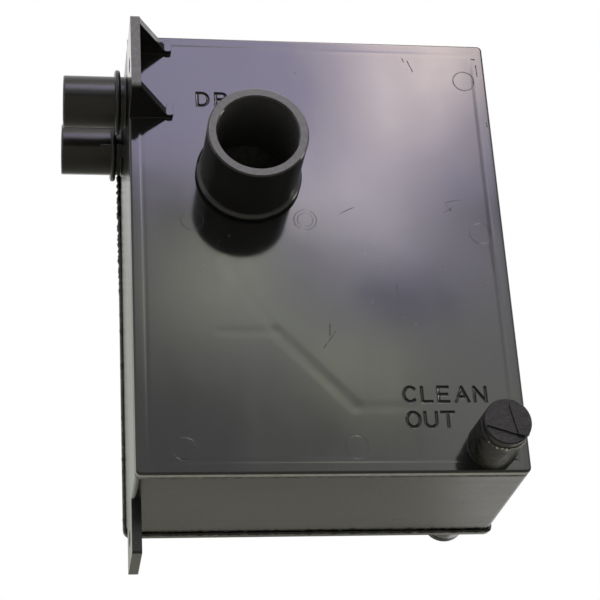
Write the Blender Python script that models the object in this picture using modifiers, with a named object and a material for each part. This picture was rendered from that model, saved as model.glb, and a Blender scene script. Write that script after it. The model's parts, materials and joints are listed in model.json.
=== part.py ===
"""Condensate trap of a condensing furnace: a welded plastic box with inlets, a drain and clean-outs.

Metres, +Z up. The origin is on the mounting wall's outer face, in the middle of the box's depth and height.
The drain and the lettered face look towards -Y, and the inlets leave through the mounting wall towards -X.
"""

import math

import bmesh
import bpy
from mathutils import Matrix, Vector

# The box
BODY_WIDTH = 0.1026
BODY_DEPTH = 0.0500
BODY_HEIGHT = 0.1310
WALL_THICKNESS = 0.0024
COVER_THICKNESS = 0.0022
CORNER_RADIUS = 0.0014
CAVITY_CORNER_RADIUS = 0.0012
COVER_EDGE_RADIUS = 0.0006

# The welds between the walls and the two covers
WELD_GAP = 0.0003
WELD_GROOVE_WIDTH = 0.0010
WELD_GROOVE_DEPTH = 0.0007
REAR_COVER_OVERHANG = 0.0008

# The sunk panel that each cover has inside its border
PANEL_BORDER = 0.0026
PANEL_SLOPE = 0.0024
PANEL_SINK = 0.0003

# The baffles that hold the water
BAFFLE_THICKNESS = 0.0020
BAFFLE_END_GAP = 0.0003
SHELF_BELOW_TOP = 0.0290
BAFFLE_FROM_WALL = 0.0620
BAFFLE_FOOT_HEIGHT = 0.0200

# The trough, a bent wall behind the front cover that runs from below the drain to under the baffle's foot
TROUGH_THICKNESS = 0.0020
TROUGH_TOP_FROM_WALL = 0.0246
TROUGH_TOP_BELOW_DRAIN = 0.0263
TROUGH_BEND_FROM_WALL = 0.0377
TROUGH_BEND_HEIGHT = 0.0395
TROUGH_FLOOR_FROM_WALL = 0.0575
TROUGH_FLOOR_REACH = 0.0090
TROUGH_CLEARANCE = 0.0008
STIFFENER_FROM_WALL = 0.0228

# The drain stub
DRAIN_FROM_WALL = 0.0324
DRAIN_BELOW_TOP = 0.0445
DRAIN_OUTER_RADIUS = 0.0135
DRAIN_BORE_RADIUS = 0.0108
DRAIN_LENGTH = 0.0235
DRAIN_RIM_CHAMFER = 0.0004
DRAIN_BEAD_FROM_FACE = 0.0014
DRAIN_BEAD_RADIUS = 0.0011
DRAIN_ROOT_FILLET = 0.0002

# The two inlet stubs, side by side in depth
INLET_BELOW_TOP = 0.0150
INLET_SPACING = 0.0267
INLET_OUTER_RADIUS = 0.0074
INLET_BORE_RADIUS = 0.0055
INLET_LENGTH = 0.0177
INLET_RIM_CHAMFER = 0.0003
INLET_COLLAR_FROM_WALL = 0.0026
INLET_COLLAR_WIDTH = 0.0015
INLET_COLLAR_HEIGHT = 0.0019
INLET_ROOT_FILLET = 0.0006
INLET_LAND_SETBACK = 0.0001
INLET_LAND_MARGIN = 0.0010
KEY_LENGTH = 0.0064
KEY_WIDTH = 0.0036
KEY_RISE = 0.0012
KEY_ANGLE = math.radians(31)

# The mounting tab, in the plane of the mounting wall and forward of the front cover, with its two ribs
TAB_REACH = 0.0147
TAB_BELOW_TOP = 0.0034
TAB_HEIGHT = 0.0235
TAB_THICKNESS = 0.0026
TAB_CORNER_RADIUS = 0.0012
RIB_THICKNESS = 0.0020
RIB_LENGTH = 0.0104
RIB_INSET = 0.0003
RIB_FRONT_SETBACK = 0.0008
RIB_END_RISE = 0.0013
POST_WIDTH = 0.0020
POST_HEIGHT = 0.0036
POST_RISE = 0.0016
POST_LAP = 0.0002
POST_CORNER_RADIUS = 0.0006

# The ear below the box, in the plane of the mounting wall
EAR_WIDTH = 0.0195
EAR_MIDDLE_FROM_REAR = 0.01975
EAR_DROP = 0.0140
EAR_CORNER_RADIUS = 0.0006
EAR_THICKNESS = 0.0026
EAR_HOLE_DROP = 0.0070

SCREW_HOLE_RADIUS = 0.0022

# The two clean-outs, on one axis through both covers
CLEANOUT_FROM_FAR_WALL = 0.0098
CLEANOUT_HEIGHT = 0.0075
BOSS_RIM_RADIUS = 0.0063
BOSS_RIM_CHAMFER = 0.0003
BOSS_ROOT_RADIUS = 0.0067
BOSS_ROOT_FILLET = 0.0005
FRONT_BOSS_LENGTH = 0.0139
REAR_BOSS_LENGTH = 0.0097
PLUG_HEAD_RADIUS = 0.0062
PLUG_HEAD_THICKNESS = 0.0026
PLUG_HEAD_EDGE = 0.0003
PLUG_SHANK_RADIUS = 0.0040
PLUG_SHANK_LENGTH = 0.0085
PLUG_TIP_CHAMFER = 0.0005
PLUG_CLEARANCE = 0.0003
GRIP_RISE = 0.0009
GRIP_CORNER_SETBACK = 0.0004
GRIP_SIDES = 3
GRIP_TURN = math.radians(-18.3)
GRIP_STEP_TURN = math.radians(30)
GRIP_STEP_OFFSET = 0.0013
GRIP_STEP_DEPTH = 0.0004
SEAL_THICKNESS = 0.0010
SEAL_OUTER_RADIUS = 0.0050
SEAL_EDGE = 0.0003
SEAT_CLEARANCE = 0.0003

FRONT_Y = -BODY_DEPTH / 2
REAR_Y = BODY_DEPTH / 2
BASE_Z = -BODY_HEIGHT / 2
TOP_Z = BODY_HEIGHT / 2
BODY_FRONT_Y = FRONT_Y + COVER_THICKNESS + WELD_GAP
BODY_REAR_Y = REAR_Y - COVER_THICKNESS - WELD_GAP
OVERRUN = 0.0020
EMBED = 0.5 * min(WALL_THICKNESS, COVER_THICKNESS)

# Where the clean-outs, the drain, the ear, the inlets and the feet of the inner walls lie
CLEANOUT_X = BODY_WIDTH - CLEANOUT_FROM_FAR_WALL
CLEANOUT_Z = BASE_Z + CLEANOUT_HEIGHT
DRAIN_Z = TOP_Z - DRAIN_BELOW_TOP
EAR_Y = REAR_Y - EAR_MIDDLE_FROM_REAR
INLET_Z = TOP_Z - INLET_BELOW_TOP
SHELF_Z = TOP_Z - SHELF_BELOW_TOP
BAFFLE_FOOT_Z = BASE_Z + BAFFLE_FOOT_HEIGHT

# Turns of an object whose own +Z is its turning axis
TOWARDS_FRONT = (math.pi / 2, 0, 0)
TOWARDS_REAR = (-math.pi / 2, 0, 0)
TOWARDS_INLET = (0, -math.pi / 2, 0)
# Turns of a flat outline: drawn in Y and Z, extruded along X, or drawn in X and Z, extruded along Y
OUTLINE_IN_YZ = (math.pi / 2, 0, math.pi / 2)
OUTLINE_IN_XZ = (math.pi / 2, 0, 0)

LARGE_ROUND_STEPS = 72
SMALL_ROUND_STEPS = 48
SCREW_HOLE_STEPS = 24
BEAD_STEPS = 8
FILLET_STEPS = 4
GRIP_CORNER_STEPS = 3
COVER_EDGE_STEPS = 3
PANEL_STEPS = 5
SMOOTH_ANGLE = math.radians(35)
RIM_ANGLE = math.radians(60)
AXIS_MERGE_DISTANCE = 0.00001
OUTLINE_MERGE_DISTANCE = 0.000001


def clear_scene():
    for old in list(bpy.data.objects):
        bpy.data.objects.remove(old, do_unlink=True)


def new_collection(name):
    collection = bpy.data.collections.new(name)
    bpy.context.scene.collection.children.link(collection)
    return collection


clear_scene()
PARTS = new_collection("condensate_trap")
TOOLS = new_collection("cutters_and_joined_shapes")


def plastic(name, colour, roughness):
    material = bpy.data.materials.new(name)
    material.use_nodes = True
    shader = material.node_tree.nodes["Principled BSDF"]
    shader.inputs["Base Color"].default_value = (*colour, 1)
    shader.inputs["Roughness"].default_value = roughness
    shader.inputs["Metallic"].default_value = 0
    return material


def as_tool(obj):
    """Moves an object to the collection of shapes that only cut or join others."""
    for collection in list(obj.users_collection):
        collection.objects.unlink(obj)
    TOOLS.objects.link(obj)
    obj.hide_render = True
    obj.display_type = "WIRE"
    return obj


def from_bmesh(name, bm):
    mesh = bpy.data.meshes.new(name)
    bm.to_mesh(mesh)
    bm.free()
    obj = bpy.data.objects.new(name, mesh)
    PARTS.objects.link(obj)
    return obj


def box(name, low, high):
    low = Vector(low)
    high = Vector(high)
    bm = bmesh.new()
    place = Matrix.Translation((low + high) / 2) @ Matrix.Diagonal((*(high - low), 1))
    bmesh.ops.create_cube(bm, size=1, matrix=place)
    return from_bmesh(name, bm)


def turned(name, profile, location, rotation, steps):
    """A turned solid: (radius, height) points from the top of the axis down the outside to its foot."""
    mesh = bpy.data.meshes.new(name)
    points = [(radius, 0, height) for radius, height in profile]
    mesh.from_pydata(points, [(i, i + 1) for i in range(len(points) - 1)], [])
    obj = bpy.data.objects.new(name, mesh)
    PARTS.objects.link(obj)
    obj.location = location
    obj.rotation_euler = rotation
    screw = obj.modifiers.new("turn", "SCREW")
    screw.steps = steps
    screw.render_steps = steps
    screw.use_merge_vertices = True
    screw.merge_threshold = AXIS_MERGE_DISTANCE
    return obj


def arc(centre, radius, start, end, steps):
    """Points on an arc, both ends included, with the angles in degrees."""
    found = []
    for i in range(steps + 1):
        angle = math.radians(start + (end - start) * i / steps)
        found.append((centre[0] + radius * math.cos(angle), centre[1] + radius * math.sin(angle)))
    return found


def rounded_rectangle(low, high, radius):
    (x0, y0), (x1, y1) = low, high
    return (
        arc((x1 - radius, y1 - radius), radius, 0, 90, FILLET_STEPS)
        + arc((x0 + radius, y1 - radius), radius, 90, 180, FILLET_STEPS)
        + arc((x0 + radius, y0 + radius), radius, 180, 270, FILLET_STEPS)
        + arc((x1 - radius, y0 + radius), radius, 270, 360, FILLET_STEPS)
    )


def screw_hole(centre):
    return arc(centre, SCREW_HOLE_RADIUS, 0, 360, SCREW_HOLE_STEPS)[:-1]


def flat(name, outlines, thickness, location, rotation):
    """A flat outline with its holes, extruded to a thickness with its middle at the location."""
    curve = bpy.data.curves.new(name, "CURVE")
    curve.dimensions = "2D"
    curve.fill_mode = "BOTH"
    curve.extrude = thickness / 2
    for outline in outlines:
        spline = curve.splines.new("POLY")
        spline.points.add(len(outline) - 1)
        for point, (x, y) in zip(spline.points, outline):
            point.co = (x, y, 0, 1)
        spline.use_cyclic_u = True
    shape = bpy.data.objects.new(name + "_outline", curve)
    PARTS.objects.link(shape)
    shape.location = location
    shape.rotation_euler = rotation
    bpy.context.view_layer.update()
    graph = bpy.context.evaluated_depsgraph_get()
    mesh = bpy.data.meshes.new_from_object(shape.evaluated_get(graph))
    bm = bmesh.new()
    bm.from_mesh(mesh)
    bmesh.ops.remove_doubles(bm, verts=bm.verts, dist=OUTLINE_MERGE_DISTANCE)
    bmesh.ops.recalc_face_normals(bm, faces=bm.faces)
    bm.to_mesh(mesh)
    bm.free()
    obj = bpy.data.objects.new(name, mesh)
    PARTS.objects.link(obj)
    obj.matrix_world = shape.matrix_world.copy()
    bpy.data.objects.remove(shape, do_unlink=True)
    return obj


def combine(target, tool, operation):
    """Joins the tool to the target, or cuts it away, and moves the tool out of the parts."""
    modifier = target.modifiers.new(tool.name, "BOOLEAN")
    modifier.operation = operation
    modifier.solver = "EXACT"
    modifier.object = as_tool(tool)


def join(target, tool):
    combine(target, tool, "UNION")


def cut(target, tool):
    combine(target, tool, "DIFFERENCE")


def smooth(obj):
    obj.data.shade_smooth()
    obj.data.set_sharp_from_angle(angle=SMOOTH_ANGLE)


def finish_part(obj, material):
    obj.data.materials.clear()
    obj.data.materials.append(material)
    smooth(obj)
    return obj


def body_outline(inset, radius):
    """The body in X and Z, less an inset."""
    return rounded_rectangle((inset, BASE_Z + inset), (BODY_WIDTH - inset, TOP_Z - inset), radius)


def block(name, y_low, y_high, outline):
    """An outline in X and Z that fills a stretch of the depth."""
    middle = (0, (y_low + y_high) / 2, 0)
    return flat(name, [outline], y_high - y_low, middle, OUTLINE_IN_XZ)


def stub_profile(length, radius, rim_chamfer, root_fillet, ring):
    """The outside of a solid stub that is sunk into its wall, with a ring of points part way along it."""
    return (
        [(0, length), (radius - rim_chamfer, length), (radius, length - rim_chamfer)]
        + ring
        + arc((radius + root_fillet, root_fillet), root_fillet, 180, 270, FILLET_STEPS)
        + [(radius + root_fillet, -EMBED), (0, -EMBED)]
    )


def bead(radius, height, bead_radius):
    """A half-round ring on a stub, as profile points from its outer end to its wall end."""
    return arc((radius, height), bead_radius, 90, -90, BEAD_STEPS)


def collar(radius, height, width, rise):
    """A thin ring with a rounded rim on a stub."""
    half = width / 2
    return (
        [(radius, height + half)]
        + arc((radius + rise - half, height), half, 90, -90, BEAD_STEPS)
        + [(radius, height - half)]
    )


def bore_profile(radius, mouth, length, rim_chamfer):
    """A cutter for a bore from beyond its mouth to beyond its far end, with a chamfered mouth."""
    wide = radius + rim_chamfer + OVERRUN
    return [
        (0, mouth + OVERRUN),
        (wide, mouth + OVERRUN),
        (radius, mouth - rim_chamfer),
        (radius, -length),
        (0, -length),
    ]


def inlet(body, name, y, has_key):
    place = (0, y, INLET_Z)
    ring = collar(
        INLET_OUTER_RADIUS, INLET_COLLAR_FROM_WALL, INLET_COLLAR_WIDTH, INLET_COLLAR_HEIGHT
    )
    profile = stub_profile(
        INLET_LENGTH, INLET_OUTER_RADIUS, INLET_RIM_CHAMFER, INLET_ROOT_FILLET, ring
    )
    join(body, turned(name, profile, place, TOWARDS_INLET, SMALL_ROUND_STEPS))
    if has_key:
        top = INLET_OUTER_RADIUS + KEY_RISE
        key = box(
            name + "_key",
            ((INLET_BORE_RADIUS + INLET_OUTER_RADIUS) / 2, -KEY_WIDTH / 2, -EMBED),
            (top, KEY_WIDTH / 2, KEY_LENGTH),
        )
        # The stub's own X points up and its -Y to the front, and the key looks to the front and down.
        turn = Matrix.Rotation(-math.pi / 2 - KEY_ANGLE, 4, "Z")
        key.data.transform(turn)
        key.location = place
        key.rotation_euler = TOWARDS_INLET
        join(body, key)
    bore = bore_profile(
        INLET_BORE_RADIUS, INLET_LENGTH, WALL_THICKNESS + OVERRUN, INLET_RIM_CHAMFER
    )
    cut(body, turned(name + "_bore", bore, place, TOWARDS_INLET, SMALL_ROUND_STEPS))


def ear_outline():
    """The ear in Y and Z: square, with slightly rounded corners and its root inside the wall."""
    half = EAR_WIDTH / 2
    return rounded_rectangle(
        (EAR_Y - half, BASE_Z - EAR_DROP), (EAR_Y + half, BASE_Z + EMBED), EAR_CORNER_RADIUS
    )


def make_body(material):
    ring_front = BODY_FRONT_Y + WELD_GROOVE_WIDTH
    ring_rear = BODY_REAR_Y - WELD_GROOVE_WIDTH
    body = block("trap_body", ring_front, ring_rear, body_outline(0, CORNER_RADIUS))
    # The wall is set back a little around the inlets, so the flat part below their collars is what rests.
    land_foot = INLET_Z - INLET_OUTER_RADIUS - INLET_COLLAR_HEIGHT - INLET_LAND_MARGIN
    inlet_land = box(
        "inlet_land",
        (-OVERRUN, ring_front - OVERRUN, land_foot),
        (INLET_LAND_SETBACK, ring_rear + OVERRUN, TOP_Z + OVERRUN),
    )
    cut(body, inlet_land)
    land = body_outline(WELD_GROOVE_DEPTH, CORNER_RADIUS)
    join(body, block("weld_land", BODY_FRONT_Y, BODY_REAR_Y, land))
    cavity = body_outline(WALL_THICKNESS, CAVITY_CORNER_RADIUS)
    cut(body, block("cavity", BODY_FRONT_Y - OVERRUN, BODY_REAR_Y + OVERRUN, cavity))
    shelf_bottom = SHELF_Z - BAFFLE_THICKNESS
    baffle_far_side = BAFFLE_FROM_WALL + BAFFLE_THICKNESS
    # The shelf under the inlets turns down into the baffle, so the two are one bent wall.
    bent_wall = [
        (WALL_THICKNESS - EMBED, shelf_bottom),
        (BAFFLE_FROM_WALL, shelf_bottom),
        (BAFFLE_FROM_WALL, BAFFLE_FOOT_Z),
        (baffle_far_side, BAFFLE_FOOT_Z),
        (baffle_far_side, SHELF_Z),
        (WALL_THICKNESS - EMBED, SHELF_Z),
    ]
    baffle_front = BODY_FRONT_Y + BAFFLE_END_GAP
    baffle_rear = BODY_REAR_Y - BAFFLE_END_GAP
    join(body, block("baffle", baffle_front, baffle_rear, bent_wall))
    # The partition keeps the two inlets apart down to the foot of the baffle.
    inside = BAFFLE_THICKNESS / 2
    left = WALL_THICKNESS - EMBED
    right = BODY_WIDTH - WALL_THICKNESS + EMBED
    top = TOP_Z - WALL_THICKNESS + EMBED
    partition = [
        (left, SHELF_Z - inside),
        (baffle_far_side - inside, SHELF_Z - inside),
        (baffle_far_side - inside, BAFFLE_FOOT_Z + inside),
        (right, BAFFLE_FOOT_Z + inside),
        (right, top),
        (left, top),
    ]
    join(body, block("partition", -inside, inside, partition))
    ear_hole = screw_hole((EAR_Y, BASE_Z - EAR_HOLE_DROP))
    ear_middle = (EAR_THICKNESS / 2, 0, 0)
    join(body, flat("ear", [ear_outline(), ear_hole], EAR_THICKNESS, ear_middle, OUTLINE_IN_YZ))
    inlet(body, "front_inlet", -INLET_SPACING / 2, has_key=False)
    inlet(body, "rear_inlet", INLET_SPACING / 2, has_key=True)
    return finish_part(body, material)


def panel_slope_points():
    """The soft step down to the panel, as distances in from its border and depths below it."""
    points = []
    for i in range(1, PANEL_STEPS + 1):
        share = i / PANEL_STEPS
        points.append((share * PANEL_SLOPE, PANEL_SINK * (1 - math.cos(math.pi * share)) / 2))
    # The first stretch goes on in a straight line to above the face, and from there straight out.
    inward, depth = points[0]
    return [(-inward, -OVERRUN), (-inward, -depth)] + points


def panel_recess(name, outer_y, outward):
    """A cutter for the sunk panel, whose sides slope softly in towards its floor."""
    bm = bmesh.new()
    rings = []
    for inward, depth in panel_slope_points():
        half_width = BODY_WIDTH / 2 - PANEL_BORDER - inward
        half_height = BODY_HEIGHT / 2 - PANEL_BORDER - inward
        y = outer_y - outward * depth
        corners = ((-1, -1), (1, -1), (1, 1), (-1, 1))
        rings.append(
            [bm.verts.new((BODY_WIDTH / 2 + u * half_width, y, v * half_height)) for u, v in corners]
        )
    for ring, following in zip(rings, rings[1:]):
        for i in range(len(ring)):
            bm.faces.new((ring[i - 1], ring[i], following[i], following[i - 1]))
    bm.faces.new(rings[0])
    bm.faces.new(rings[-1])
    bmesh.ops.recalc_face_normals(bm, faces=bm.faces)
    return from_bmesh(name, bm)


def cover_plate(name, front, overhang):
    """A cover with a rounded outer edge and a slightly sunk panel on its outer face."""
    outward = -1 if front else 1
    outer_y = FRONT_Y if front else REAR_Y
    middle_y = outer_y - outward * COVER_THICKNESS / 2
    outline = rounded_rectangle(
        (-overhang, BASE_Z - overhang),
        (BODY_WIDTH + overhang, TOP_Z + overhang),
        CORNER_RADIUS + overhang,
    )
    plate = flat(name, [outline], COVER_THICKNESS, (0, middle_y, 0), OUTLINE_IN_XZ)
    bm = bmesh.new()
    bm.from_mesh(plate.data)
    # The outline's own +Z looks to the front of the trap.
    rim = [
        edge
        for edge in bm.edges
        if all(-outward * vertex.co.z > 0 for vertex in edge.verts)
        and edge.calc_face_angle() > RIM_ANGLE
    ]
    bmesh.ops.bevel(
        bm,
        geom=rim,
        offset=COVER_EDGE_RADIUS,
        segments=COVER_EDGE_STEPS,
        profile=0.5,
        affect="EDGES",
    )
    bm.to_mesh(plate.data)
    bm.free()
    cut(plate, panel_recess(name + "_panel", outer_y, outward))
    return plate


def cleanout_boss(cover, name, front, length):
    """A boss on a cover, bored through, with a seat for the seal at its rim."""
    place = (CLEANOUT_X, FRONT_Y if front else REAR_Y, CLEANOUT_Z)
    turn = TOWARDS_FRONT if front else TOWARDS_REAR
    sunk = COVER_THICKNESS - EMBED
    root_edge = BOSS_ROOT_RADIUS + BOSS_ROOT_FILLET
    root_centre = (root_edge, BOSS_ROOT_FILLET - PANEL_SINK)
    profile = [
        (0, length),
        (BOSS_RIM_RADIUS - BOSS_RIM_CHAMFER, length),
        (BOSS_RIM_RADIUS, length - BOSS_RIM_CHAMFER),
        *arc(root_centre, BOSS_ROOT_FILLET, 180, 270, FILLET_STEPS),
        (root_edge, -sunk),
        (0, -sunk),
    ]
    join(cover, turned(name, profile, place, turn, SMALL_ROUND_STEPS))
    seat_radius = SEAL_OUTER_RADIUS + SEAT_CLEARANCE
    seat_floor = length - SEAL_THICKNESS - SEAT_CLEARANCE
    bore_radius = PLUG_SHANK_RADIUS + PLUG_CLEARANCE
    bore = [
        (0, length + OVERRUN),
        (seat_radius, length + OVERRUN),
        (seat_radius, seat_floor),
        (bore_radius, seat_floor),
        (bore_radius, -COVER_THICKNESS - OVERRUN),
        (0, -COVER_THICKNESS - OVERRUN),
    ]
    cut(cover, turned(name + "_bore", bore, place, turn, SMALL_ROUND_STEPS))


def tab_outline():
    """The tab in Y and Z, with its root inside the front cover and round front corners."""
    front = FRONT_Y - TAB_REACH
    root = FRONT_Y + EMBED
    top = TOP_Z - TAB_BELOW_TOP
    bottom = top - TAB_HEIGHT
    r = TAB_CORNER_RADIUS
    return (
        [(root, top)]
        + arc((front + r, top - r), r, 90, 180, FILLET_STEPS)
        + arc((front + r, bottom + r), r, 180, 270, FILLET_STEPS)
        + [(root, bottom)]
    )


def add_tab(cover):
    top = TOP_Z - TAB_BELOW_TOP
    bottom = top - TAB_HEIGHT
    hole = screw_hole((FRONT_Y - TAB_REACH / 2, (top + bottom) / 2))
    middle = (TAB_THICKNESS / 2, 0, 0)
    join(cover, flat("tab", [tab_outline(), hole], TAB_THICKNESS, middle, OUTLINE_IN_YZ))
    # Each rib is a flat triangle that braces the tab against the cover and ends in a small post.
    undersides = {
        "upper": top - RIB_INSET - RIB_THICKNESS,
        "lower": bottom + RIB_INSET,
    }
    tab_front = FRONT_Y - TAB_REACH + RIB_FRONT_SETBACK
    rib = [
        (TAB_THICKNESS / 2, FRONT_Y + EMBED),
        (TAB_THICKNESS / 2, tab_front),
        (TAB_THICKNESS, tab_front),
        (RIB_LENGTH, FRONT_Y - RIB_END_RISE),
        (RIB_LENGTH, FRONT_Y + EMBED),
    ]
    for name, underside in undersides.items():
        place = (0, 0, underside + RIB_THICKNESS / 2)
        join(cover, flat(name + "_rib", [rib], RIB_THICKNESS, place, (0, 0, 0)))
        post_left = RIB_LENGTH - POST_LAP
        post_foot = underside - POST_LAP
        post = rounded_rectangle(
            (post_left, post_foot),
            (post_left + POST_WIDTH, post_foot + POST_HEIGHT),
            POST_CORNER_RADIUS,
        )
        join(cover, block(name + "_post", FRONT_Y - POST_RISE, FRONT_Y + EMBED, post))


def add_drain(cover):
    place = (DRAIN_FROM_WALL, FRONT_Y, DRAIN_Z)
    ring = bead(DRAIN_OUTER_RADIUS, DRAIN_BEAD_FROM_FACE, DRAIN_BEAD_RADIUS)
    profile = stub_profile(
        DRAIN_LENGTH, DRAIN_OUTER_RADIUS, DRAIN_RIM_CHAMFER, DRAIN_ROOT_FILLET, ring
    )
    join(cover, turned("drain", profile, place, TOWARDS_FRONT, LARGE_ROUND_STEPS))
    bore = bore_profile(
        DRAIN_BORE_RADIUS, DRAIN_LENGTH, COVER_THICKNESS + OVERRUN, DRAIN_RIM_CHAMFER
    )
    cut(cover, turned("drain_bore", bore, place, TOWARDS_FRONT, LARGE_ROUND_STEPS))


def strip_outline(route, thickness):
    """An outline of even thickness along a bent route in X and Z, with mitred bends and square ends."""
    ways = [(b - a).normalized() for a, b in zip(route, route[1:])]
    left = []
    right = []
    for i, point in enumerate(route):
        before = ways[max(i - 1, 0)]
        after = ways[min(i, len(ways) - 1)]
        across = Vector((-before.y - after.y, before.x + after.x)).normalized()
        reach = thickness / 2 / across.dot(Vector((-after.y, after.x)))
        left.append(tuple(point + across * reach))
        right.append(tuple(point - across * reach))
    return left + right[::-1]


def add_trough(cover):
    """The bent wall behind the cover, with the short stiffener that meets its bend."""
    floor_z = BAFFLE_FOOT_Z - TROUGH_CLEARANCE - TROUGH_THICKNESS / 2
    bend = Vector((TROUGH_BEND_FROM_WALL, BASE_Z + TROUGH_BEND_HEIGHT))
    trough = [
        Vector((TROUGH_TOP_FROM_WALL, DRAIN_Z - TROUGH_TOP_BELOW_DRAIN)),
        bend,
        Vector((TROUGH_FLOOR_FROM_WALL, floor_z)),
        Vector((BAFFLE_FROM_WALL + BAFFLE_THICKNESS + TROUGH_FLOOR_REACH, floor_z)),
    ]
    stiffener = [Vector((STIFFENER_FROM_WALL, bend.y)), bend]
    root = FRONT_Y + COVER_THICKNESS - EMBED
    end = REAR_Y - COVER_THICKNESS - BAFFLE_END_GAP
    join(cover, block("trough", root, end, strip_outline(trough, TROUGH_THICKNESS)))
    join(cover, block("stiffener", root, end, strip_outline(stiffener, TROUGH_THICKNESS)))


def make_front_cover(material):
    cover = cover_plate("front_cover", True, 0)
    add_trough(cover)
    add_tab(cover)
    add_drain(cover)
    cleanout_boss(cover, "front_boss", True, FRONT_BOSS_LENGTH)
    return finish_part(cover, material)


def make_rear_cover(material):
    cover = cover_plate("rear_cover", False, REAR_COVER_OVERHANG)
    cleanout_boss(cover, "rear_boss", False, REAR_BOSS_LENGTH)
    return finish_part(cover, material)


def grip_outline(distance):
    """A triangle with cut corners whose sides lie at a distance from the middle."""
    corner = PLUG_HEAD_RADIUS - GRIP_CORNER_SETBACK
    # Where a side at this distance meets the round of the corners
    half = math.degrees(math.acos(distance / corner))
    turn = math.degrees(GRIP_TURN) - 90
    between = 360 / GRIP_SIDES
    found = []
    for side in range(GRIP_SIDES):
        middle = turn + between * side
        found += arc((0, 0), corner, middle + half, middle + between - half, GRIP_CORNER_STEPS)
    return found


def make_plug(name, front, boss_length, material):
    """A plug whose own +Z points out of its boss, with its origin on that axis at the cover's face."""
    place = (CLEANOUT_X, FRONT_Y if front else REAR_Y, CLEANOUT_Z)
    turn = TOWARDS_FRONT if front else TOWARDS_REAR
    under = boss_length + SEAT_CLEARANCE
    top = under + PLUG_HEAD_THICKNESS
    tip = under - PLUG_SHANK_LENGTH
    profile = [
        (0, top),
        (PLUG_HEAD_RADIUS - PLUG_HEAD_EDGE, top),
        (PLUG_HEAD_RADIUS, top - PLUG_HEAD_EDGE),
        (PLUG_HEAD_RADIUS, under + PLUG_HEAD_EDGE),
        (PLUG_HEAD_RADIUS - PLUG_HEAD_EDGE, under),
        (PLUG_SHANK_RADIUS, under),
        (PLUG_SHANK_RADIUS, tip + PLUG_TIP_CHAMFER),
        (PLUG_SHANK_RADIUS - PLUG_TIP_CHAMFER, tip),
        (0, tip),
    ]
    plug = turned(name, profile, place, turn, SMALL_ROUND_STEPS)
    side_distance = (PLUG_HEAD_RADIUS - GRIP_CORNER_SETBACK) * math.cos(math.pi / GRIP_SIDES)
    grip_height = GRIP_RISE + PLUG_HEAD_EDGE
    grip = flat(name + "_grip", [grip_outline(side_distance)], grip_height, (0, 0, 0), (0, 0, 0))
    grip.location = (0, 0, top - PLUG_HEAD_EDGE + grip_height / 2)
    grip.parent = plug
    join(plug, grip)
    # A shallow step crosses the grip, parallel to one of its sides.
    reach = PLUG_HEAD_RADIUS + OVERRUN
    step = box(
        name + "_step",
        (-reach, -reach, top + GRIP_RISE - GRIP_STEP_DEPTH),
        (GRIP_STEP_OFFSET, reach, top + GRIP_RISE + OVERRUN),
    )
    step.rotation_euler = (0, 0, GRIP_TURN + GRIP_STEP_TURN)
    step.parent = plug
    cut(plug, step)
    return finish_part(plug, material)


def make_seal(name, front, boss_length, material):
    """A flat ring with rounded edges that lies in the seat at the boss's rim."""
    place = (CLEANOUT_X, FRONT_Y if front else REAR_Y, CLEANOUT_Z)
    turn = TOWARDS_FRONT if front else TOWARDS_REAR
    top = boss_length
    foot = top - SEAL_THICKNESS
    inner = PLUG_SHANK_RADIUS + PLUG_CLEARANCE
    profile = [
        (inner, top),
        (SEAL_OUTER_RADIUS - SEAL_EDGE, top),
        (SEAL_OUTER_RADIUS, top - SEAL_EDGE),
        (SEAL_OUTER_RADIUS, foot + SEAL_EDGE),
        (SEAL_OUTER_RADIUS - SEAL_EDGE, foot),
        (inner, foot),
        (inner, top),
    ]
    seal = turned(name, profile, place, turn, SMALL_ROUND_STEPS)
    return finish_part(seal, material)


def build():
    body_plastic = plastic("body_plastic", (0.022, 0.022, 0.023), 0.34)
    cover_plastic = plastic("cover_plastic", (0.024, 0.024, 0.026), 0.30)
    rear_plastic = plastic("rear_plastic", (0.022, 0.022, 0.023), 0.36)
    plug_plastic = plastic("plug_plastic", (0.026, 0.026, 0.028), 0.42)
    seal_rubber = plastic("seal_rubber", (0.012, 0.012, 0.012), 0.70)
    make_body(body_plastic)
    make_front_cover(cover_plastic)
    make_rear_cover(rear_plastic)
    make_seal("front_cleanout_seal", True, FRONT_BOSS_LENGTH, seal_rubber)
    make_plug("front_cleanout_plug", True, FRONT_BOSS_LENGTH, plug_plastic)
    make_seal("rear_cleanout_seal", False, REAR_BOSS_LENGTH, seal_rubber)
    make_plug("rear_cleanout_plug", False, REAR_BOSS_LENGTH, plug_plastic)


build()
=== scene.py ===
"""The looks of the condensate trap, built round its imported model.

Metres, +Z up, in the part's own frame: +X leads from the mounting wall into the box,
and the lettered face, the drain and the screw tab look towards -Y.
"""

import json
import math
import random

import bmesh
import bpy
from mathutils import Matrix, Vector, noise


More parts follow.
